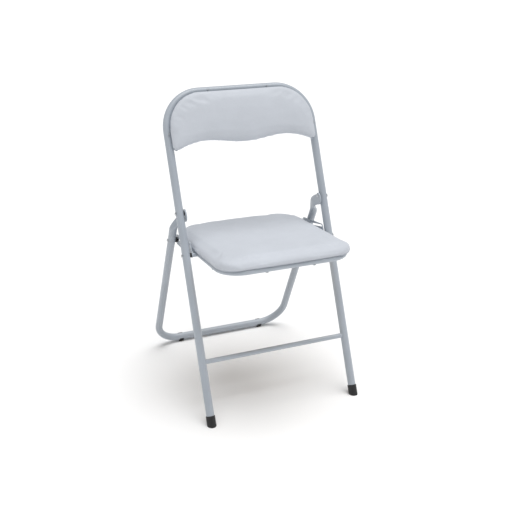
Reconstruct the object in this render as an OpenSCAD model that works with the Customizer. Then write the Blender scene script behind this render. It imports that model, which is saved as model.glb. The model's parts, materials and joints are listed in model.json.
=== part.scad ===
// Padded steel-tube folding chair, in millimetres, +Z up, facing -Y.
// The origin is on the floor, under the middle of the open chair.

/* [Frames] */
// Distance between the centre lines of the two front legs
frame_width = 420; // [380:1:480]
// Length of the front frame from the floor to the centre of its top tube
front_length = 877; // [800:1:960]
// Lean of the front frame back from vertical, in degrees
front_lean = 22.8; // [19:0.1:25]
// Outer diameter of the frame tube
tube_d = 21.3; // [19:0.1:23]
// Wall of the frame tube
tube_wall = 1.2; // [0.8:0.1:2]
// Bend radius at the top corners of the front frame
front_bend = 100; // [80:1:130]
// Height of the crossbar along the front frame
crossbar_at = 166.5; // [120:1:240]
// Outer diameter of the crossbar
crossbar_d = 13; // [10:0.5:16]
// Distance from the front feet back to the rear bar
rear_reach = 502.5; // [460:0.5:560]
// Lean of the rear legs forward from vertical, in degrees
rear_lean = 27; // [24:0.1:30]
// Distance between the centre lines of the two rear legs
rear_width = 422.6; // [390:0.2:480]
// Bend radius at the lower corners of the rear frame
rear_bend = 75; // [55:1:110]

/* [Pivots] */
// Height of the upper pivot along the front frame
upper_pivot_at = 560; // [530:1:590]
// Height of the seat pivot along the front frame
seat_pivot_at = 448.5; // [420:0.5:470]
// Height of the slot pin along the rear legs
slot_pin_at = 452; // [430:1:470]
// Diameter of the pivot rivets
rivet_d = 6; // [5:0.5:8]
// Diameter of the rivet heads
rivet_head_d = 11; // [9:0.5:13]
// Height of the rivet heads
rivet_head_h = 3.2; // [2:0.1:4]
// Radial clearance of a rivet in the piece that turns on it
running_gap = 0.05; // [0.02:0.01:0.1]
// Angle through which the rear frame folds, in degrees
fold_angle = 49.6; // [46:0.1:49.8]

/* [Seat] */
// Half width of the cushion at its front corners
seat_half_front = 187; // [170:0.5:192]
// Half width of the cushion at its rear corners
seat_half_rear = 190; // [170:0.5:193]
// Reach of the cushion in front of the seat pivot
seat_ahead = 211; // [190:1:230]
// Reach of the cushion behind the seat pivot
seat_behind = 200; // [180:1:220]
// Slope of the seat down towards the back, in degrees
seat_tilt = 3.7; // [0:0.1:6]
// Corner radius of the cushion at the front
seat_front_corner = 52; // [40:1:70]
// Corner radius of the cushion at the back
seat_rear_corner = 84; // [60:1:100]
// Thickness of the cushion at its middle
cushion_thick = 28; // [20:1:40]
// Diameter of the tube under the cushion's edge
seat_tube_d = 13; // [11:0.5:15]
// Thickness of the board in the cushion
board_thick = 8; // [6:0.5:12]
// Thickness of the slotted side brackets
bracket_thick = 2.5; // [2:0.1:3]

/* [Backrest] */
// Height of the lower edge of the backrest at its arches, along the front frame
back_low = 740; // [700:1:780]
// Drop of the lower edge in the middle
back_dip = 11; // [0:0.5:20]
// Drop of the lower edge at the two sides
back_drop = 21.5; // [0:0.5:30]
// Thickness of the backrest board
panel_thick = 4; // [3:0.5:6]
// Thickness of the backrest padding
pad_thick = 15; // [10:0.5:20]

/* [Feet] */
// Wall of the front foot caps round the tube
cap_wall = 1.6; // [1.2:0.1:3]
// Length of the front foot caps along the leg
cap_length = 26; // [18:1:34]
// Width of the clip-on rear feet along the rear bar
clip_width = 14; // [10:1:20]
// Distance of each rear foot from the middle of the bar
clip_at = 133; // [90:1:133]
// Thickness of the rear foot under the bar
clip_sole = 3; // [2:0.1:5]

/* [Hidden] */

$fn = 48;
paint = [0.66, 0.70, 0.74];
vinyl = [0.80, 0.82, 0.86];
black = [0.09, 0.09, 0.10];
steel = [0.62, 0.64, 0.66];
wood = [0.72, 0.62, 0.48];
eps = 0.01;

tube_r = tube_d / 2;
front_x = frame_width / 2;
rear_x = rear_width / 2;
rear_z = tube_r + clip_sole;
clip_lip = 1.4;

// Seat levels above the seat pivot, square to the seat
side_gap = 0.05;
ring_r = seat_tube_d / 2;
ring_wall = 1.2;
ring_inset = 4.5 + ring_r;
board_low = ring_r + side_gap;
board_inset = 6.5;
cushion_low = ring_r + 0.8;
cushion_wide_at = cushion_low + 5;
seat_seam_inset = 4;

// Slopes and bows of the seat's front and rear edges
front_slope = 1.8;
rear_slope = 1.4;
edge_bow_r = 2500;

// The origin is halfway between the cushion's front edge and the rear feet.
front_bow = edge_bow_r * (1 / cos(front_slope) - 1);
seat_front_y = seat_pivot_at * sin(front_lean) - (seat_ahead - front_bow) * cos(seat_tilt)
    + cushion_wide_at * sin(seat_tilt);
foot_y = -(seat_front_y + rear_reach + tube_r + clip_lip) / 2;

// Seat pivot and slot pin, as [y, z] in the chair's frame
seat_pivot = [foot_y + seat_pivot_at * sin(front_lean), seat_pivot_at * cos(front_lean)];
slot_pin = [foot_y + rear_reach - slot_pin_at * sin(rear_lean),
    rear_z + slot_pin_at * cos(rear_lean)];
upper_pivot = [foot_y + upper_pivot_at * sin(front_lean), upper_pivot_at * cos(front_lean)];

// Side stack at the pivots, as distances from the middle plane
front_inner = front_x - tube_r;
rear_inner = rear_x - tube_r;
washer_thick = 1.5;
washer_d = 12;
eye_thick = 3.5;
eye_outer = front_inner - washer_thick - 2 * side_gap;
eye_x = eye_outer - eye_thick / 2;
bracket_outer = front_inner - 4;
bracket_inner = bracket_outer - bracket_thick;

// ---------- vectors and rounded paths ----------

function unit(v) = v / norm(v);
function heading(v) = atan2(v[1], v[0]);
function left_of(v) = [-v[1], v[0]];
function wrap(a) = a > 180 ? a - 360 : a < -180 ? a + 360 : a;
function wave_step(u) = u <= 0 ? 0 : u >= 1 ? 1 : u * u * (3 - 2 * u);
function mix(a, b, u) = a + (b - a) * u;
function turned(v, a) = [v[0] * cos(a) - v[1] * sin(a), v[0] * sin(a) + v[1] * cos(a)];

// One rounded corner: [start point, end point, centre, first angle, sweep, radius]
function corner(before, at, after, r) =
    let (a = unit(at - before), b = unit(after - at), sweep = wrap(heading(b) - heading(a)),
        cut = r * tan(abs(sweep) / 2), start = at - a * cut,
        centre = start + left_of(a) * r * sign(sweep))
    [start, at + b * cut, centre, heading(start - centre), sweep, r];

function loop_corners(p, r) =
    let (n = len(p)) [for (i = [0:n - 1]) corner(p[(i + n - 1) % n], p[i], p[(i + 1) % n], r[i])];
function open_corners(p, r) =
    [for (i = [1:len(p) - 2]) corner(p[i - 1], p[i], p[i + 1], r[i - 1])];

// Points along a rounded loop, one every few degrees of each bend
function loop_points(corners, step = 6) =
    [for (c = corners) let (n = max(2, ceil(abs(c[4]) / step)))
        for (k = [0:n]) c[2] + c[5] * [cos(c[3] + c[4] * k / n), sin(c[3] + c[4] * k / n)]];

module bore_ring(d, wall) {
    difference() {
        circle(d = d);
        if (wall > 0) circle(d = d - 2 * wall);
    }
}

module straight_tube(from, to, d, wall) {
    translate(from) rotate([0, 90, heading(to - from)])
        linear_extrude(norm(to - from)) bore_ring(d, wall);
}

module bent_tube(c, d, wall) {
    translate(c[2]) rotate([0, 0, c[4] > 0 ? c[3] : c[3] + c[4]])
        rotate_extrude(angle = abs(c[4]), $fn = 96) translate([c[5], 0]) bore_ring(d, wall);
}

// A tube in the XY plane along an open path with rounded corners
module open_tube(p, r, d, wall) {
    c = open_corners(p, r);
    n = len(c);
    straight_tube(p[0], c[0][0], d, wall);
    for (i = [0:n - 1]) bent_tube(c[i], d, wall);
    for (i = [0:1:n - 2]) straight_tube(c[i][1], c[i + 1][0], d, wall);
    straight_tube(c[n - 1][1], p[len(p) - 1], d, wall);
}

// A tube in the XY plane round a closed loop with rounded corners
module loop_tube(c, d, wall) {
    n = len(c);
    for (i = [0:n - 1]) {
        bent_tube(c[i], d, wall);
        straight_tube(c[i][1], c[(i + 1) % n][0], d, wall);
    }
}

// The straight-sided middle of a bar between two discs, a hair narrower than they are
hair = 0.005;
module bar_middle(a, ra, b, rb) {
    w = heading(b - a);
    t = acos((ra - rb) / norm(b - a));
    qa = ra - hair;
    qb = rb - hair;
    polygon([a + qa * [cos(w + t), sin(w + t)], a + qa * [cos(w - t), sin(w - t)],
        b + qb * [cos(w - t), sin(w - t)], b + qb * [cos(w + t), sin(w + t)]]);
}

module disc(at, r) {
    translate(at) circle(r);
}

// ---------- frames of reference ----------

// X across, Y up along the front frame, Z square to it towards the sitter
module on_front() {
    translate([0, foot_y, 0]) rotate([90 - front_lean, 0, 0]) children();
}

// X across, Y up along the rear legs, Z square to them towards the front
module on_rear() {
    translate([0, foot_y + rear_reach, rear_z]) rotate([90 + rear_lean, 0, 0]) children();
}

// X across, Y back along the seat, Z square to it, from the seat pivot
module on_seat() {
    translate([0, seat_pivot[0], seat_pivot[1]]) rotate([-seat_tilt, 0, 0]) children();
}

// A disc or rod along X from x0 to x1, at [y, z]
module across(at, x0, x1, d) {
    translate([min(x0, x1), at[0], at[1]]) rotate([0, 90, 0]) cylinder(d = d, h = abs(x1 - x0));
}

// A domed rivet head along X: it starts at x and stands out by h on the side dir
module dome_head(at, x, dir, d, h) {
    ball_r = (d * d / 4 + h * h) / (2 * h);
    translate([x, at[0], at[1]]) rotate([0, 90 * dir, 0]) difference() {
        translate([0, 0, h - ball_r]) sphere(ball_r, $fn = 64);
        translate([0, 0, -2 * ball_r]) cube([4 * ball_r, 4 * ball_r, 4 * ball_r], center = true);
    }
}

// ---------- front frame ----------

tube_start = 8;
front_path = [[-front_x, tube_start], [-front_x, front_length],
    [front_x, front_length], [front_x, tube_start]];
screw_d = 4;
side_screw_at = 768;
top_screw_x = 85;

module back_screw_places() {
    for (side = [-1, 1]) {
        translate([side * front_x, side_screw_at, 0]) children();
        translate([side * top_screw_x, front_length, 0]) children();
    }
}

module front_frame() {
    color(paint) difference() {
        on_front() difference() {
            open_tube(front_path, [front_bend, front_bend], tube_d, tube_wall);
            back_screw_places() cylinder(d = screw_d, h = 4 * tube_r, center = true);
        }
        for (side = [-1, 1], at = [upper_pivot, seat_pivot])
            across(at, side * (front_inner - 1), side * (front_x + tube_r + 1), rivet_d);
    }
}

module front_crossbar() {
    color(paint) on_front() difference() {
        translate([-front_x, crossbar_at, 0]) rotate([0, 90, 0]) linear_extrude(frame_width)
            bore_ring(crossbar_d, 1.2);
        for (side = [-1, 1]) translate([side * front_x, crossbar_at, 0])
            rotate([90, 0, 0]) cylinder(d = tube_d, h = 3 * crossbar_d, center = true);
    }
}

module front_foot(side) {
    cap_r = tube_r + cap_wall;
    sole_s = -cap_r * tan(front_lean);
    color(black) difference() {
        on_front() translate([side * front_x, 0, 0]) rotate([-90, 0, 0]) difference() {
            translate([0, 0, sole_s]) union() {
                cylinder(r = cap_r, h = cap_length - sole_s - 1);
                translate([0, 0, cap_length - sole_s - 1])
                    cylinder(r1 = cap_r, r2 = cap_r - 1, h = 1, $fn = 64);
            }
            translate([0, 0, tube_start]) cylinder(d = tube_d, h = cap_length);
        }
        translate([side * front_x - 50, foot_y - 50, -50]) cube([100, 100, 50]);
    }
}

// ---------- backrest ----------

pad_gap = 3;
panel_inset = 3;
back_half = front_x - pad_gap;
back_top = front_length - pad_gap;
arch_at = 112;
back_corner_x = 197;
back_corner_rise = 8;

// Lower edge of the backrest: a dip in the middle between two arches, then a fall to the sides
function back_edge(x) = abs(x) < arch_at ?
    back_low - back_dip * (1 + cos(180 * x / arch_at)) / 2 :
    back_low - back_drop * pow((abs(x) - arch_at) / (back_corner_x - arch_at), 2);

module back_outline() {
    r = front_bend - pad_gap;
    top = loop_points([for (side = [1, -1]) corner(
        side > 0 ? [back_half, back_low] : [back_half, back_top],
        [side * back_half, back_top],
        side > 0 ? [-back_half, back_top] : [-back_half, back_low], r)]);
    side_low = back_edge(back_corner_x) + back_corner_rise;
    low = [for (k = [-16:16]) let (x = k * back_corner_x / 16) [x, back_edge(x)]];
    polygon(concat(top, [[-back_half, side_low]], low, [[back_half, side_low]]));
}

module back_panel() {
    color(paint) on_front() difference() {
        translate([0, 0, tube_r]) linear_extrude(panel_thick) offset(delta = -panel_inset)
            back_outline();
        back_screw_places() cylinder(d = screw_d, h = 4 * tube_r);
    }
}

module back_pad() {
    color(vinyl) on_front() translate([0, 0, tube_r + panel_thick]) {
        linear_extrude(pad_thick - 5) back_outline();
        translate([0, 0, pad_thick - 5 - eps]) linear_extrude(5) offset(delta = -7) back_outline();
    }
}

module back_screws() {
    head_d = 8;
    head_h = 2.4;
    color(steel) on_front() back_screw_places() {
        translate([0, 0, -tube_r]) cylinder(d = screw_d, h = 2 * tube_r + panel_thick);
        translate([0, 0, -tube_r - head_h]) cylinder(d = head_d, h = head_h);
    }
}

// ---------- rear frame ----------

arm_from = 505;
arm_r = 85;
arm_lead = 10;
arm_joggle = 48;
arm_turn = 50;
arm_tip_half = 14.6;
arm_tip_thin = 1.7;
eye_r = 10.5;
// Upper pivot in the rear frame's own [along, behind] directions
pivot_from_bar = upper_pivot - [foot_y + rear_reach, rear_z];
pivot_rear = [-pivot_from_bar[0] * sin(rear_lean) + pivot_from_bar[1] * cos(rear_lean),
    pivot_from_bar[0] * cos(rear_lean) + pivot_from_bar[1] * sin(rear_lean)];

// Centre of the arm, as [along, behind], at q millimetres past the start of its bend
function arm_angle(q) = max(0, q) / arm_r * 180 / PI;
function arm_centre(q) = [arm_from + min(0, q) + arm_r * sin(arm_angle(q)),
    -arm_r * (1 - cos(arm_angle(q)))];

// One section of the arm, as it turns from a round tube to a flat strap
function arm_section(q, sides) =
    let (u = wave_step((q + arm_lead) / arm_joggle), c = arm_centre(q), w = arm_angle(q),
        full = (tube_r + 0.03) / cos(180 / sides),
        x = mix(rear_x, eye_x, u), half_x = mix(full, arm_tip_thin, u),
        half_h = mix(full, arm_tip_half, u), power = mix(1, 0.45, u))
    [for (k = [0:sides - 1]) let (f = 360 * k / sides, h = half_h * sin(f))
        [x + half_x * sign(cos(f)) * pow(abs(cos(f)), power), c[0] + h * sin(w), -(c[1] + h * cos(w))]];

module arm_skin() {
    sides = 28;
    steps = 16;
    last = arm_r * arm_turn * PI / 180;
    rings = [for (k = [0:steps]) arm_section(mix(-arm_lead - 3, last, k / steps), sides)];
    quads = [for (i = [0:steps - 1], k = [0:sides - 1]) let (m = (k + 1) % sides)
        [i * sides + k, (i + 1) * sides + k, (i + 1) * sides + m, i * sides + m]];
    polyhedron([for (ring = rings) for (p = ring) p],
        concat([[for (k = [0:sides - 1]) k]], quads,
            [[for (k = [sides - 1:-1:0]) steps * sides + k]]), convexity = 4);
}

module eye_outline(tip, pivot) {
    disc(tip, arm_tip_half);
    disc(pivot, eye_r);
    bar_middle(tip, arm_tip_half, pivot, eye_r);
}

module arm_eye() {
    tip = arm_centre(arm_r * arm_turn * PI / 180);
    translate([eye_outer - eye_thick, 0, 0]) rotate([90, 0, 90]) linear_extrude(eye_thick)
        eye_outline([tip[0], -tip[1]], [pivot_rear[0], -pivot_rear[1]]);
}

module rear_arm() {
    arm_skin();
    arm_eye();
}

module rear_frame() {
    leg_top = arm_from - arm_lead;
    path = [[-rear_x, leg_top], [-rear_x, 0], [rear_x, 0], [rear_x, leg_top]];
    color(paint) difference() {
        on_rear() {
            open_tube(path, [rear_bend, rear_bend], tube_d, tube_wall);
            rear_arm();
            mirror([1, 0, 0]) rear_arm();
        }
        for (side = [-1, 1]) {
            across(slot_pin, side * (rear_inner - 1), side * (rear_x + tube_r + 1), rivet_d);
            across(upper_pivot, side * (eye_outer - eye_thick - 1), side * (eye_outer + 1),
                rivet_d + 2 * running_gap);
        }
    }
}

module rear_foot(side) {
    grip_from = -15;
    grip_to = -235;
    far = 2 * tube_d;
    color(black) translate([side * clip_at - clip_width / 2, foot_y + rear_reach, rear_z])
        rotate([90, 0, 90]) linear_extrude(clip_width) difference() {
            union() {
                intersection() {
                    circle(r = tube_r + clip_lip);
                    polygon(concat([[0, 0]], [for (k = [0:8]) let (f = mix(grip_from, grip_to, k / 8))
                        far * [-cos(f), sin(f)]]));
                }
                translate([-7, -tube_r - clip_sole]) square([14, clip_sole + 3]);
            }
            circle(r = tube_r);
        }
}

// ---------- pivots ----------

module upper_rivet(side) {
    inner = eye_outer - eye_thick - side_gap;
    color(steel) {
        across(upper_pivot, side * inner, side * (front_x + tube_r), rivet_d);
        dome_head(upper_pivot, side * (front_x + tube_r), side, rivet_head_d, rivet_head_h);
        dome_head(upper_pivot, side * inner, -side, rivet_head_d, rivet_head_h - 0.4);
    }
}

module flat_washer(at, side, outer, thick, hole) {
    color(black) difference() {
        across(at, side * (outer - thick), side * outer, washer_d);
        across(at, side * (outer - thick - 1), side * (outer + 1), hole);
    }
}

module upper_washer(side) {
    flat_washer(upper_pivot, side, front_inner - side_gap, washer_thick, rivet_d);
}

module seat_washer(side) {
    flat_washer(seat_pivot, side, front_inner - side_gap, 4 - 2 * side_gap, rivet_d);
}

boss_d = seat_tube_d - 1;
boss_hole_end = bracket_inner - 5;

module seat_rivet(side) {
    color(steel) {
        across(seat_pivot, side * boss_hole_end, side * (front_x + tube_r), rivet_d);
        dome_head(seat_pivot, side * (front_x + tube_r), side, rivet_head_d, rivet_head_h);
    }
}

module leg_rivet(side) {
    color(steel) {
        across(slot_pin, side * rear_inner, side * (rear_x + tube_r), rivet_d);
        dome_head(slot_pin, side * (rear_x + tube_r), side, rivet_head_d, rivet_head_h);
    }
}

// ---------- seat ----------

// Corners of the cushion's outline, moved in by inset, from the front middle anticlockwise
function seat_loop(inset) =
    let (f = seat_ahead - inset, b = seat_behind - inset,
        wf = seat_half_front - inset, wb = seat_half_rear - inset)
    loop_corners(
        [[0, -f], [wf, -f + wf * tan(front_slope)], [wb, b - wb * tan(rear_slope)], [0, b],
            [-wb, b - wb * tan(rear_slope)], [-wf, -f + wf * tan(front_slope)]],
        [edge_bow_r, seat_front_corner - inset, seat_rear_corner - inset,
            edge_bow_r, seat_rear_corner - inset, seat_front_corner - inset]);

module seat_slab(inset, low, high) {
    translate([0, 0, low]) linear_extrude(high - low) polygon(loop_points(seat_loop(inset), 9));
}

// The ring is square-sided: its straights and bends lie on these centre lines.
ring_half = seat_half_front - ring_inset;
ring_front = seat_ahead - ring_inset - 2;
ring_rear = seat_behind - ring_inset - 2;
ring_front_bend = seat_front_corner + 8;
ring_rear_bend = seat_rear_corner - 6;
ring_loop = loop_corners(
    [[-ring_half, -ring_front], [ring_half, -ring_front], [ring_half, ring_rear],
        [-ring_half, ring_rear]],
    [ring_front_bend, ring_front_bend, ring_rear_bend, ring_rear_bend]);

seat_screw_x = 65;
side_screw_y = [-115, 95];
// Places of the seat screws on the centre line of the ring, as [x, y]
seat_screw_places = [for (side = [-1, 1]) each concat(
    [[side * seat_screw_x, -ring_front], [side * seat_screw_x, ring_rear]],
    [for (y = side_screw_y) [side * ring_half, y]])];
seat_screw_end = board_low + board_thick - 2;

module seat_screw_holes() {
    for (p = seat_screw_places) translate([p[0], p[1], -2 * ring_r])
        cylinder(d = screw_d, h = 2 * ring_r + seat_screw_end);
}

module seat_ring() {
    color(paint) on_seat() difference() {
        loop_tube(ring_loop, seat_tube_d, ring_wall);
        seat_screw_holes();
    }
}

module seat_board() {
    color(wood) on_seat() difference() {
        seat_slab(board_inset, board_low, board_low + board_thick);
        seat_screw_holes();
    }
}

module seat_cushion() {
    top = board_low + cushion_thick;
    color(vinyl) on_seat() difference() {
        hull() {
            seat_slab(seat_seam_inset, cushion_low, cushion_low + 1);
            seat_slab(0, cushion_wide_at, cushion_wide_at + 7);
            seat_slab(9, top - 5, top - 4);
            seat_slab(35, top - 1, top);
        }
        seat_slab(board_inset, 0, board_low + board_thick);
    }
}

module seat_screws() {
    head_d = 8;
    head_h = 2;
    color(steel) on_seat() for (p = seat_screw_places) translate([p[0], p[1], 0]) {
        translate([0, 0, -ring_r]) cylinder(d = screw_d, h = ring_r + seat_screw_end);
        translate([0, 0, -ring_r - head_h]) cylinder(d = head_d, h = head_h);
    }
}

// Slot pin in the seat's own [along, above] directions, open and folded
function to_seat(p) = turned(p - seat_pivot, seat_tilt);
slot_open = to_seat(slot_pin);
// The angle that brings the seat flat along the front frame when the chair folds
seat_turn = 90 + front_lean - seat_tilt;
pin_from_upper = slot_pin - upper_pivot;
pin_folded = upper_pivot + turned(pin_from_upper, -fold_angle);
slot_folded = turned(to_seat(pin_folded), seat_turn);

bush_neck_d = 6;
slot_width = bush_neck_d + 0.2;
bracket_rear_r = 14;
bracket_front_r = 5.2;
bracket_pivot_r = 7;
foot_weld = [88, 0];
weld_d = 9;

module bracket_plate() {
    difference() {
        hull() {
            disc([0, 0], bracket_pivot_r);
            disc(slot_folded, bracket_front_r);
            disc(slot_open, bracket_rear_r);
        }
        disc(slot_folded, slot_width / 2);
        disc(slot_open, slot_width / 2);
        bar_middle(slot_folded, slot_width / 2, slot_open, slot_width / 2);
    }
}

// The right-hand bracket; the left one is its mirror image.
module right_bracket() {
    on_seat() difference() {
        union() {
            translate([bracket_inner, 0, 0]) rotate([90, 0, 90]) linear_extrude(bracket_thick)
                bracket_plate();
            difference() {
                union() {
                    across([0, 0], ring_half, bracket_inner + 0.5, boss_d);
                    across(foot_weld, ring_half, bracket_inner + 0.5, weld_d);
                }
                straight_tube([ring_half, -ring_front], [ring_half, ring_rear], seat_tube_d, 0);
            }
        }
        across([0, 0], boss_hole_end, bracket_outer + 1, rivet_d + 2 * running_gap);
    }
}

module seat_bracket(side) {
    color(paint) mirror([side > 0 ? 0 : 1, 0, 0]) right_bracket();
}

bush_flange_d = 14;
bush_outer = rear_inner - 0.3;
slot_shank_d = 4;
slot_head_d = 12;
slot_head_h = 1.5;

module slot_bush(side) {
    color(black) difference() {
        union() {
            across(slot_pin, side * (bracket_outer + side_gap), side * bush_outer, bush_flange_d);
            across(slot_pin, side * (bracket_inner - side_gap), side * bush_outer, bush_neck_d);
        }
        across(slot_pin, side * (bracket_inner - 1), side * (bush_outer + 1), slot_shank_d);
    }
}

module slot_pin_piece(side) {
    inner = bracket_inner - side_gap;
    color(steel) {
        across(slot_pin, side * inner, side * bush_outer, slot_shank_d);
        across(slot_pin, side * (inner - slot_head_h), side * inner, slot_head_d);
    }
}

front_frame();
front_crossbar();
rear_frame();
back_panel();
back_pad();
back_screws();
front_foot(-1);  // front_foot_left
front_foot(1);  // front_foot_right
rear_foot(-1);  // rear_foot_left
rear_foot(1);  // rear_foot_right
upper_rivet(-1);  // upper_rivet_left
upper_rivet(1);  // upper_rivet_right
upper_washer(-1);  // upper_washer_left
upper_washer(1);  // upper_washer_right
seat_rivet(-1);  // seat_rivet_left
seat_rivet(1);  // seat_rivet_right
seat_washer(-1);  // seat_washer_left
seat_washer(1);  // seat_washer_right
seat_ring();
seat_board();
seat_cushion();
seat_screws();
seat_bracket(-1);  // seat_bracket_left
seat_bracket(1);  // seat_bracket_right
slot_bush(-1);  // slot_bush_left
slot_bush(1);  // slot_bush_right
slot_pin_piece(-1);  // slot_pin_left
slot_pin_piece(1);  // slot_pin_right
leg_rivet(-1);  // leg_rivet_left
leg_rivet(1);  // leg_rivet_right
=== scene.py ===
"""Looks for the padded folding chair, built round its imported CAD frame."""
import json
import math
import bpy
import bmesh
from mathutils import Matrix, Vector, noise


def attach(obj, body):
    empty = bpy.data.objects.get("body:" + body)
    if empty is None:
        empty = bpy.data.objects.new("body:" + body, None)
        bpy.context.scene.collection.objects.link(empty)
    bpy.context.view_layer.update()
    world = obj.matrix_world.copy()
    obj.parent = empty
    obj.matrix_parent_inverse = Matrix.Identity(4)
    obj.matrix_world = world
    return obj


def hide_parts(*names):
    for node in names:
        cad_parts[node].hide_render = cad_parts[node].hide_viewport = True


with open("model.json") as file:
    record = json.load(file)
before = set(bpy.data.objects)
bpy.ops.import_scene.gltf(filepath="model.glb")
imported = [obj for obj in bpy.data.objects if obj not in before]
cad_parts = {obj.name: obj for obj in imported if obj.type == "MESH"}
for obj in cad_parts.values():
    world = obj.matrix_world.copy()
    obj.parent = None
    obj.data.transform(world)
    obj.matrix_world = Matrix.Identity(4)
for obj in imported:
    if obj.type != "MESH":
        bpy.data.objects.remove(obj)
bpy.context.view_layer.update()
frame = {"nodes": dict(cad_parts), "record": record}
record = frame["record"]

MM = 0.001
FRONT_LEAN = math.radians(22.8)
SEAT_TILT = math.radians(3.7)

joints = {j["name"]: j for j in record["behaviour"]["joints"]}
mounts = {m["name"]: m for m in record["mounts"]}
seat_pivot = Vector(joints["seat_fold"]["pos_m"])
foot_y = mounts["front_foot_right_sole"]["pos_m"][1]


# ---------------------------------------------------------------- camera and materials

def look_at(obj, target):
    direction = Vector(target) - obj.location
    obj.rotation_euler = direction.to_track_quat("-Z", "Y").to_euler()


camera_data = bpy.data.cameras.new("view")
camera_data.lens = 56.99
camera_data.sensor_width = 36
camera_data.clip_end = 100
camera = bpy.data.objects.new("view", camera_data)
camera.location = (-0.8095, foot_y - 1.7346, 1.1760)
look_at(camera, (-0.0299, foot_y + 0.1200, 0.4013))
bpy.context.collection.objects.link(camera)
bpy.context.scene.camera = camera


def material(name):
    mat = bpy.data.materials.new(name)
    mat.use_nodes = True
    tree = mat.node_tree
    return mat, tree.nodes, tree.links, tree.nodes["Principled BSDF"]


def coords(nodes, links, scale=(1, 1, 1)):
    place = nodes.new("ShaderNodeTexCoord")
    mapping = nodes.new("ShaderNodeMapping")
    mapping.inputs["Scale"].default_value = scale
    links.new(place.outputs["Object"], mapping.inputs["Vector"])
    return mapping.outputs["Vector"]


def noise_node(nodes, links, vector, scale, detail=2.0, rough=0.5):
    n = nodes.new("ShaderNodeTexNoise")
    n.inputs["Scale"].default_value = scale
    n.inputs["Detail"].default_value = detail
    n.inputs["Roughness"].default_value = rough
    links.new(vector, n.inputs["Vector"])
    return n.outputs["Fac"]


def voronoi_node(nodes, links, vector, scale):
    n = nodes.new("ShaderNodeTexVoronoi")
    n.inputs["Scale"].default_value = scale
    links.new(vector, n.inputs["Vector"])
    return n.outputs["Distance"]


def ramp(nodes, links, fac, stops):
    r = nodes.new("ShaderNodeValToRGB")
    els = r.color_ramp.elements
    while len(els) < len(stops):
        els.new(0.5)
    for el, (pos, col) in zip(els, stops):
        el.position = pos
        el.color = (*col, 1)
    links.new(fac, r.inputs["Fac"])
    return r.outputs["Color"]


def spread(nodes, links, fac, low, high):
    m = nodes.new("ShaderNodeMapRange")
    m.inputs["To Min"].default_value = low
    m.inputs["To Max"].default_value = high
    links.new(fac, m.inputs["Value"])
    return m.outputs["Result"]


def bump(nodes, links, height, strength, distance, under=None):
    b = nodes.new("ShaderNodeBump")
    b.inputs["Strength"].default_value = strength
    b.inputs["Distance"].default_value = distance
    links.new(height, b.inputs["Height"])
    if under is not None:
        links.new(under, b.inputs["Normal"])
    return b.outputs["Normal"]


def shade(col, k):
    return tuple(min(1, c * k) for c in col)


def paint_material():
    col = (0.400, 0.440, 0.490)
    mat, nodes, links, bsdf = material("paint")
    v = coords(nodes, links)
    cloud = noise_node(nodes, links, v, 9, 3)
    links.new(ramp(nodes, links, cloud, [(0.3, shade(col, 0.94)), (0.7, shade(col, 1.05))]),
              bsdf.inputs["Base Color"])
    fine = noise_node(nodes, links, v, 420, 2)
    links.new(spread(nodes, links, fine, 0.30, 0.44), bsdf.inputs["Roughness"])
    peel = noise_node(nodes, links, v, 900, 1)
    links.new(bump(nodes, links, peel, 0.12, 0.0006), bsdf.inputs["Normal"])
    bsdf.inputs["Coat Weight"].default_value = 0.25
    bsdf.inputs["Coat Roughness"].default_value = 0.25
    return mat


def vinyl_material(name, col, pull):
    """Grained vinyl cloth. pull is how strongly soft hollows show in its surface."""
    mat, nodes, links, bsdf = material(name)
    v = coords(nodes, links)
    cloud = noise_node(nodes, links, v, 14, 3)
    grain = voronoi_node(nodes, links, v, 780)
    fibre = noise_node(nodes, links, v, 1500, 3, 0.6)
    base = ramp(nodes, links, cloud, [(0.25, shade(col, 0.955)), (0.75, shade(col, 1.03))])
    pits = ramp(nodes, links, grain, [(0.0, (1, 1, 1)), (0.75, (0.90, 0.905, 0.915))])
    mix = nodes.new("ShaderNodeMix")
    mix.data_type = "RGBA"
    mix.blend_type = "MULTIPLY"
    mix.inputs["Factor"].default_value = 1.0
    links.new(base, mix.inputs["A"])
    links.new(pits, mix.inputs["B"])
    links.new(mix.outputs["Result"], bsdf.inputs["Base Color"])
    links.new(spread(nodes, links, fibre, 0.48, 0.66), bsdf.inputs["Roughness"])
    low = bump(nodes, links, noise_node(nodes, links, v, 26, 2), pull, 0.004)
    mid = bump(nodes, links, grain, 0.32, 0.0006, low)
    links.new(bump(nodes, links, fibre, 0.18, 0.0003, mid), bsdf.inputs["Normal"])
    bsdf.inputs["Sheen Weight"].default_value = 0.12
    bsdf.inputs["Sheen Roughness"].default_value = 0.5
    bsdf.inputs["Specular IOR Level"].default_value = 0.4
    return mat


def plastic_material():
    mat, nodes, links, bsdf = material("black_plastic")
    v = coords(nodes, links)
    cloud = noise_node(nodes, links, v, 60, 3)
    links.new(ramp(nodes, links, cloud, [(0.3, (0.010, 0.010, 0.011)),
                                         (0.75, (0.022, 0.022, 0.024))]), bsdf.inputs["Base Color"])
    fine = noise_node(nodes, links, v, 1200, 2)
    links.new(spread(nodes, links, fine, 0.42, 0.6), bsdf.inputs["Roughness"])
    links.new(bump(nodes, links, fine, 0.2, 0.0003), bsdf.inputs["Normal"])
    return mat


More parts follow.
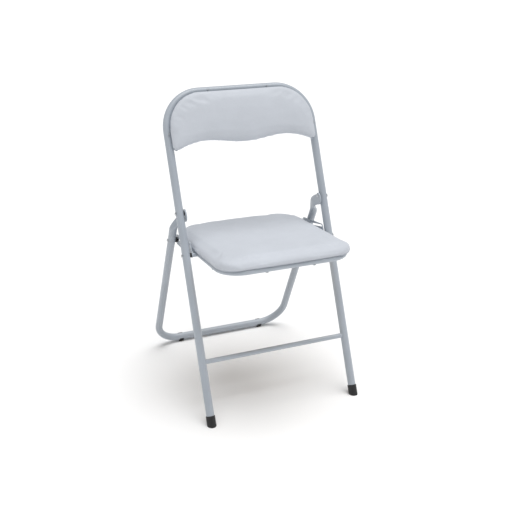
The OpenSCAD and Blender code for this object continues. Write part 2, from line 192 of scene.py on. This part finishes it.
def steel_material():
    mat, nodes, links, bsdf = material("zinc")
    v = coords(nodes, links)
    cells = voronoi_node(nodes, links, v, 420)
    links.new(ramp(nodes, links, cells, [(0.0, (0.50, 0.52, 0.54)), (0.8, (0.62, 0.64, 0.66))]),
              bsdf.inputs["Base Color"])
    fine = noise_node(nodes, links, v, 700, 2)
    links.new(spread(nodes, links, fine, 0.26, 0.42), bsdf.inputs["Roughness"])
    links.new(bump(nodes, links, fine, 0.08, 0.0002), bsdf.inputs["Normal"])
    bsdf.inputs["Metallic"].default_value = 1.0
    return mat


def plywood_material():
    mat, nodes, links, bsdf = material("plywood")
    v = coords(nodes, links, (14, 2.2, 60))
    bands = noise_node(nodes, links, v, 3.2, 4, 0.6)
    links.new(ramp(nodes, links, bands, [(0.3, (0.36, 0.25, 0.15)), (0.55, (0.50, 0.37, 0.23)),
                                         (0.75, (0.58, 0.45, 0.30))]), bsdf.inputs["Base Color"])
    pores = noise_node(nodes, links, v, 40, 3, 0.7)
    links.new(spread(nodes, links, pores, 0.6, 0.8), bsdf.inputs["Roughness"])
    links.new(bump(nodes, links, pores, 0.25, 0.0004), bsdf.inputs["Normal"])
    return mat


PAINT = paint_material()
VINYL = vinyl_material("vinyl", (0.600, 0.630, 0.680), 0.10)
PLASTIC = plastic_material()
STEEL = steel_material()
PLYWOOD = plywood_material()

by_slot = {"frame_paint": PAINT, "vinyl": VINYL, "black_plastic": PLASTIC, "steel": STEEL,
           "plywood": PLYWOOD}
slot_of = {s["node"]: s["material_slot"] for s in record["subparts"]}
for name, obj in frame["nodes"].items():
    for i in range(max(1, len(obj.material_slots))):
        if i < len(obj.material_slots):
            obj.material_slots[i].material = by_slot[slot_of[name]]
        else:
            obj.data.materials.append(by_slot[slot_of[name]])


# ---------------------------------------------------------------- shape helpers

def rounded_loop(points, radii, per_corner):
    """Points along a closed anticlockwise polygon whose corners are rounded."""
    out = []
    n = len(points)
    for i in range(n):
        a, p, b = (Vector(points[(i + k) % n]) for k in (-1, 0, 1))
        into, away = (p - a).normalized(), (b - p).normalized()
        sweep = math.atan2(into.x * away.y - into.y * away.x, into.dot(away))
        r = radii[i]
        start = p - into * (r * math.tan(sweep / 2))
        centre = start + Vector((-into.y, into.x)) * r
        first = math.atan2(start.y - centre.y, start.x - centre.x)
        steps = per_corner[i]
        for k in range(steps + 1):
            t = first + sweep * k / steps
            out.append(centre + r * Vector((math.cos(t), math.sin(t))))
    return out


def even_loop(points, count):
    """The same closed loop as count evenly spaced points."""
    n = len(points)
    lengths = [(points[(i + 1) % n] - points[i]).length for i in range(n)]
    total = sum(lengths)
    out, i, run = [], 0, 0.0
    for k in range(count):
        want = total * k / count
        while run + lengths[i] < want:
            run += lengths[i]
            i += 1
        u = (want - run) / max(lengths[i], 1e-9)
        out.append(points[i].lerp(points[(i + 1) % n], u))
    return out


def new_object(name, verts, faces, mat=None):
    mesh = bpy.data.meshes.new(name)
    mesh.from_pydata([tuple(v) for v in verts], [], faces)
    mesh.validate()
    bm = bmesh.new()
    bm.from_mesh(mesh)
    bmesh.ops.recalc_face_normals(bm, faces=bm.faces)
    bm.to_mesh(mesh)
    bm.free()
    for p in mesh.polygons:
        p.use_smooth = True
    obj = bpy.data.objects.new(name, mesh)
    bpy.context.collection.objects.link(obj)
    if mat:
        mesh.materials.append(mat)
    return obj


def lofted(rings, capped=True):
    """(verts, faces) of closed rings of equal length, joined in order."""
    n = len(rings[0])
    verts = [v for ring in rings for v in ring]
    faces = [(i * n + k, i * n + (k + 1) % n, (i + 1) * n + (k + 1) % n, (i + 1) * n + k)
             for i in range(len(rings) - 1) for k in range(n)]
    if capped:
        faces.append(tuple(range(n))[::-1])
        faces.append(tuple((len(rings) - 1) * n + k for k in range(n)))
    return verts, faces


def apply_modifiers(obj):
    dg = bpy.context.evaluated_depsgraph_get()
    mesh = bpy.data.meshes.new_from_object(obj.evaluated_get(dg))
    old = obj.data
    obj.modifiers.clear()
    obj.data = mesh
    bpy.data.meshes.remove(old)
    for p in obj.data.polygons:
        p.use_smooth = True


def add_modifier(obj, kind, **values):
    m = obj.modifiers.new(kind.lower(), kind)
    for k, v in values.items():
        setattr(m, k, v)


def swell(obj, held, cap, voxel, pressure, frames=20):
    """Remeshes obj and inflates it as cloth, moving no point where held(co), nor any past cap."""
    add_modifier(obj, "REMESH", mode="VOXEL", voxel_size=voxel)
    add_modifier(obj, "SMOOTH", factor=0.5, iterations=3)
    apply_modifiers(obj)
    rest = [v.co.copy() for v in obj.data.vertices]
    group = obj.vertex_groups.new(name="held")
    group.add([i for i, co in enumerate(rest) if held(co)], 1.0, "REPLACE")
    cloth = obj.modifiers.new("cloth", "CLOTH")
    settings = cloth.settings
    settings.quality = 5
    settings.mass = 0.3
    settings.tension_stiffness = 15
    settings.compression_stiffness = 15
    settings.bending_stiffness = 0.5
    settings.use_pressure = True
    settings.uniform_pressure_force = pressure
    settings.vertex_group_mass = "held"
    settings.effector_weights.gravity = 0
    cloth.point_cache.frame_start = 1
    cloth.point_cache.frame_end = frames
    scene = bpy.context.scene
    for f in range(1, frames + 1):
        scene.frame_set(f)
    dg = bpy.context.evaluated_depsgraph_get()
    moved = obj.evaluated_get(dg).to_mesh()
    places = [v.co.copy() for v in moved.vertices]
    obj.evaluated_get(dg).to_mesh_clear()
    obj.modifiers.clear()
    for v, a, b in zip(obj.data.vertices, rest, places):
        step = b - a
        if step.length > cap:
            step *= cap / step.length
        v.co = a + step
    scene.frame_set(1)
    obj.vertex_groups.clear()


def put(obj, to_world):
    for v in obj.data.vertices:
        v.co = to_world(v.co)


# ---------------------------------------------------------------- seat

def seat_world(p):
    """From (across, back, up) about the seat pivot, in metres, to the chair's frame."""
    c, s = math.cos(SEAT_TILT), math.sin(SEAT_TILT)
    return Vector((p[0], seat_pivot.y + p[1] * c + p[2] * s, seat_pivot.z - p[1] * s + p[2] * c))


SEAT_AHEAD, SEAT_BEHIND = 211.0, 200.0
SEAT_FRONT, SEAT_REAR = 187.0, 190.0
SEAT_CORNER_F, SEAT_CORNER_R, SEAT_BOW = 52, 84, 2500
SEAT_SLOPE_F, SEAT_SLOPE_R = math.tan(math.radians(1.8)), math.tan(math.radians(1.4))


def seat_loop(inset, count=160):
    f, b = SEAT_AHEAD - inset, SEAT_BEHIND - inset
    wf, wb = SEAT_FRONT - inset, SEAT_REAR - inset
    pts = [(0, -f), (wf, -f + wf * SEAT_SLOPE_F), (wb, b - wb * SEAT_SLOPE_R), (0, b),
           (-wb, b - wb * SEAT_SLOPE_R), (-wf, -f + wf * SEAT_SLOPE_F)]
    rf, rr = max(SEAT_CORNER_F - inset, 6), max(SEAT_CORNER_R - inset, 6)
    radii = [SEAT_BOW, rf, rr, SEAT_BOW, rr, rf]
    return even_loop(rounded_loop(pts, radii, [4, 14, 18, 4, 18, 14]), count)


def seat_crown(x, y):
    """Height of the seat's top over its edge, in millimetres."""
    u = max(0.0, 1 - (x / 176) ** 2)
    v = max(0.0, 1 - ((y + 5) / 196) ** 2)
    dome = 4.2 * (u * v) ** 0.6
    hollow = 0.9 * math.exp(-((x / 95) ** 2 + ((y - 70) / 60) ** 2))
    return dome - hollow


# The cushion's edge, as (distance in from the outline, height over the seat pivot), going up
EDGE = [(5.2, 7.4), (3.4, 8.2), (1.9, 9.6), (0.8, 11.8), (0.3, 14.4), (0.3, 17.2), (1.0, 20.2),
        (2.6, 23.2), (5.0, 26.0), (8.2, 28.3), (12.0, 29.9), (16.5, 30.9), (22.0, 31.4),
        (29.0, 31.6), (37.0, 31.6), (46.0, 31.8)]
SEAT_TOP = EDGE[-1][1]


def make_seat():
    rings = []
    under = [(150, 8.5), (90, 8.5), (46, 8.2), (24, 7.6), (12, 7.35)]
    for inset, up in under + EDGE:
        ring = seat_loop(inset)
        crown = min(1, inset / 20) if up > 12 else 0
        rings.append([Vector((p.x, p.y, up + seat_crown(p.x, p.y) * crown)) for p in ring])
    inner = seat_loop(EDGE[-1][0])
    for k in range(1, 20):
        s = 1 - k / 20
        rings.append([Vector((p.x * s, p.y * s, SEAT_TOP + seat_crown(p.x * s, p.y * s)))
                      for p in inner])
    verts, faces = lofted(rings)
    obj = new_object("seat_cushion_vinyl", [v * MM for v in verts], faces, VINYL)
    swell(obj, lambda co: co.z < 0.0105, 0.0035, 0.004, 3.0)
    for v in obj.data.vertices:
        if v.co.z > 0.016:
            v.co.z += 0.00035 * noise.noise(v.co * 22) + 0.00012 * noise.noise(v.co * 70)
    add_modifier(obj, "SMOOTH", factor=0.5, iterations=4)
    add_modifier(obj, "SUBSURF", levels=1, render_levels=1)
    apply_modifiers(obj)
    put(obj, seat_world)
    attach(obj, "seat")
    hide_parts("seat_cushion")


def wire_along(points, radius, sides):
    """(verts, faces) of a round wire along points that lie in one upright plane."""
    n = len(points)
    rings = []
    for i, p in enumerate(points):
        a, b = points[max(i - 1, 0)], points[min(i + 1, n - 1)]
        along = (b - a).normalized()
        side = Vector((-along.y, along.x, 0)).normalized()
        up = along.cross(side).normalized()
        rings.append([p + radius * (side * math.cos(t) + up * math.sin(t))
                      for t in (2 * math.pi * k / sides for k in range(sides))])
    return lofted(rings)


def make_seat_hem():
    """The vinyl turned under the board and pulled flat, with a rolled lower edge."""
    rings = []
    for inset, up in [(28, 6.9), (28.3, 6.45), (27.5, 6.3), (20, 6.32), (12, 6.4),
                     (7.2, 6.4), (5.4, 6.9), (4.4, 7.6), (4.9, 8.4), (7, 8.8)]:
        ring = seat_loop(inset, 240)
        rings.append([Vector((p.x, p.y, up)) for p in ring])
    # small pleats where the cloth is gathered round the corners
    for row, weight in ((0, 1), (1, 1), (2, 1), (3, 0.8), (4, 0.3)):
        for i, p in enumerate(rings[row]):
            near = max(0, abs(p.x) / 190 - 0.62) * max(0, abs(p.y) / 205 - 0.6) * 12
            p.z -= weight * near * 0.5 * (0.5 + 0.5 * math.sin(i * 1.9))
            wave = weight * 0.8 * noise.noise(Vector((p.x * 0.02, p.y * 0.02, 3.1)))
            p.x *= 1 + wave * 0.006
            p.y *= 1 + wave * 0.006
    verts, faces = lofted(rings, False)
    obj = new_object("seat_hem", [v * MM for v in verts], faces, VINYL)
    add_modifier(obj, "SOLIDIFY", thickness=0.0006, offset=0)
    add_modifier(obj, "SUBSURF", levels=1, render_levels=1)
    apply_modifiers(obj)
    put(obj, seat_world)
    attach(obj, "seat")


STAPLE_R = 0.45


def make_staples():
    verts, faces = [], []
    places = seat_loop(23.5, 44)
    n = len(places)
    for i, p in enumerate(places):
        along = (places[(i + 1) % n] - places[i - 1]).normalized()
        turn = 0.5 * math.sin(i * 2.3)
        along = Vector((along.x * math.cos(turn) - along.y * math.sin(turn),
                        along.x * math.sin(turn) + along.y * math.cos(turn)))
        if abs(p.x) > 150 and abs(p.y) > 150:  # none at the gathered corners
            continue
        pts = [Vector((p.x + along.x * u, p.y + along.y * u, z)) for u, z in
               ((-5.0, 6.9), (-5.0, 6.1), (-4.4, 5.75), (4.4, 5.75), (5.0, 6.1), (5.0, 6.9))]
        v, f = wire_along(pts, STAPLE_R, 6)
        base = len(verts)
        verts += v
        faces += [tuple(base + k for k in face) for face in f]
    obj = new_object("seat_staples", [v * MM for v in verts], faces, STEEL)
    put(obj, seat_world)
    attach(obj, "seat")


# ---------------------------------------------------------------- backrest

def back_world(p):
    """From (across, along the front frame, towards the sitter), in metres, to the chair's frame."""
    c, s = math.cos(FRONT_LEAN), math.sin(FRONT_LEAN)
    return Vector((p[0], foot_y + p[1] * s - p[2] * c, p[1] * c + p[2] * s))


BACK_HALF, BACK_TOP, BACK_CORNER = 207.0, 874.0, 97.0
BACK_LOW, BACK_DIP, BACK_DROP, ARCH_AT, LOW_CORNER_X = 740.0, 11.0, 21.5, 112.0, 197.0
TUBE_R, PANEL_THICK = 10.65, 4.0
PANEL_FACE = TUBE_R + PANEL_THICK


def back_edge(x):
    if abs(x) < ARCH_AT:
        return BACK_LOW - BACK_DIP * (1 + math.cos(math.pi * x / ARCH_AT)) / 2
    return BACK_LOW - BACK_DROP * ((abs(x) - ARCH_AT) / (LOW_CORNER_X - ARCH_AT)) ** 2


def back_outline():
    pts = []
    cx, cy = BACK_HALF - BACK_CORNER, BACK_TOP - BACK_CORNER
    low_y = back_edge(LOW_CORNER_X)
    for k in range(25):
        t = math.pi / 2 * k / 24
        pts.append(Vector((cx + BACK_CORNER * math.cos(t), cy + BACK_CORNER * math.sin(t))))
    for k in range(25):
        t = math.pi / 2 * (1 + k / 24)
        pts.append(Vector((-cx + BACK_CORNER * math.cos(t), cy + BACK_CORNER * math.sin(t))))
    pts.append(Vector((-BACK_HALF, low_y + 12)))
    pts.append(Vector((-BACK_HALF + 2.2, low_y + 5)))
    for k in range(-48, 49):
        x = LOW_CORNER_X * k / 48 * 0.995
        pts.append(Vector((x, back_edge(x) + (1.2 if abs(k) == 48 else 0))))
    pts.append(Vector((BACK_HALF - 2.2, low_y + 5)))
    pts.append(Vector((BACK_HALF, low_y + 12)))
    return even_loop(pts, 420)


def distance_to(loop, x, y):
    best = 1e9
    n = len(loop)
    for i in range(n):
        a, b = loop[i], loop[(i + 1) % n]
        ab = b - a
        along = ((x - a.x) * ab.x + (y - a.y) * ab.y) / max(ab.length_squared, 1e-12)
        t = max(0.0, min(1.0, along))
        dx, dy = a.x + ab.x * t - x, a.y + ab.y * t - y
        best = min(best, dx * dx + dy * dy)
    return math.sqrt(best)


PAD_SLAB, PAD_EDGE_R = 10, 11.0


def make_back_pad():
    loop = back_outline()
    coarse = loop[::3]
    base = PANEL_FACE * MM
    # a plain slab of the pad's outline, remeshed, then rounded by distance from its edge
    rings = [[Vector((p.x, p.y, PANEL_FACE + up)) * MM for p in loop] for up in (0, 5, PAD_SLAB)]
    verts, faces = lofted(rings)
    obj = new_object("back_pad_vinyl", verts, faces, VINYL)
    bm = bmesh.new()
    bm.from_mesh(obj.data)
    bmesh.ops.triangulate(bm, faces=bm.faces)
    bm.to_mesh(obj.data)
    bm.free()
    add_modifier(obj, "REMESH", mode="VOXEL", voxel_size=0.003)
    apply_modifiers(obj)
    for v in obj.data.vertices:
        h = (v.co.z - base) / (PAD_SLAB * MM)
        if h < 0.12:
            v.co.z = base + 0.0002
            continue
        x, y = v.co.x / MM, v.co.y / MM
        d = distance_to(coarse, x, y)
        up = 3.0 + 9.0 * math.sqrt(max(0.0, 1 - (1 - min(d / PAD_EDGE_R, 1)) ** 2))
        mid = max(0.0, 1 - (x / 205) ** 2) ** 0.7 * min(1.0, max(0.0, d - 4) / 50) ** 0.7
        up += 5.0 * mid
        v.co.z = base + up * min(1.0, h) * MM
    add_modifier(obj, "SMOOTH", factor=0.5, iterations=5)
    apply_modifiers(obj)
    swell(obj, lambda co: co.z < base + 0.0032, 0.0022, 0.0035, 3.0)
    for v in obj.data.vertices:
        if v.co.z > base + 0.004:
            v.co.z += 0.0003 * noise.noise(v.co * 25)
        v.co.z = max(v.co.z, base + 0.0001)
    add_modifier(obj, "SMOOTH", factor=0.5, iterations=4)
    add_modifier(obj, "SUBSURF", levels=1, render_levels=1)
    apply_modifiers(obj)
    put(obj, back_world)
    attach(obj, "front")
    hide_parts("back_pad")


make_seat()
make_seat_hem()
make_staples()
make_back_pad()

# ---------------------------------------------------------------- floor and light

floor_mat, nodes, links, bsdf = material("floor")
v = coords(nodes, links)
links.new(ramp(nodes, links, noise_node(nodes, links, v, 1.5, 2),
               [(0.3, (0.95, 0.95, 0.95)), (0.7, (0.97, 0.97, 0.97))]), bsdf.inputs["Base Color"])
bsdf.inputs["Roughness"].default_value = 0.9
bsdf.inputs["Specular IOR Level"].default_value = 0.1
floor_mesh = bpy.data.meshes.new("floor")
floor_mesh.from_pydata([(-40, -40, 0), (40, -40, 0), (40, 40, 0), (-40, 40, 0)], [], [(0, 1, 2, 3)])
floor_mesh.materials.append(floor_mat)
floor = bpy.data.objects.new("floor", floor_mesh)
bpy.context.collection.objects.link(floor)

world = bpy.data.worlds.new("studio")
world.use_nodes = True
bg = world.node_tree.nodes["Background"]
bg.inputs["Color"].default_value = (1, 1, 1, 1)
bg.inputs["Strength"].default_value = 0.47
bpy.context.scene.world = world
bpy.context.scene.view_settings.view_transform = "Standard"


sun_data = bpy.data.lights.new("sun", "SUN")
sun_data.energy = 2.3
sun_data.angle = math.radians(55)
sun = bpy.data.objects.new("sun", sun_data)
sun.location = (0.45, -0.25, 3.0)
look_at(sun, (0, 0, 0))
bpy.context.collection.objects.link(sun)
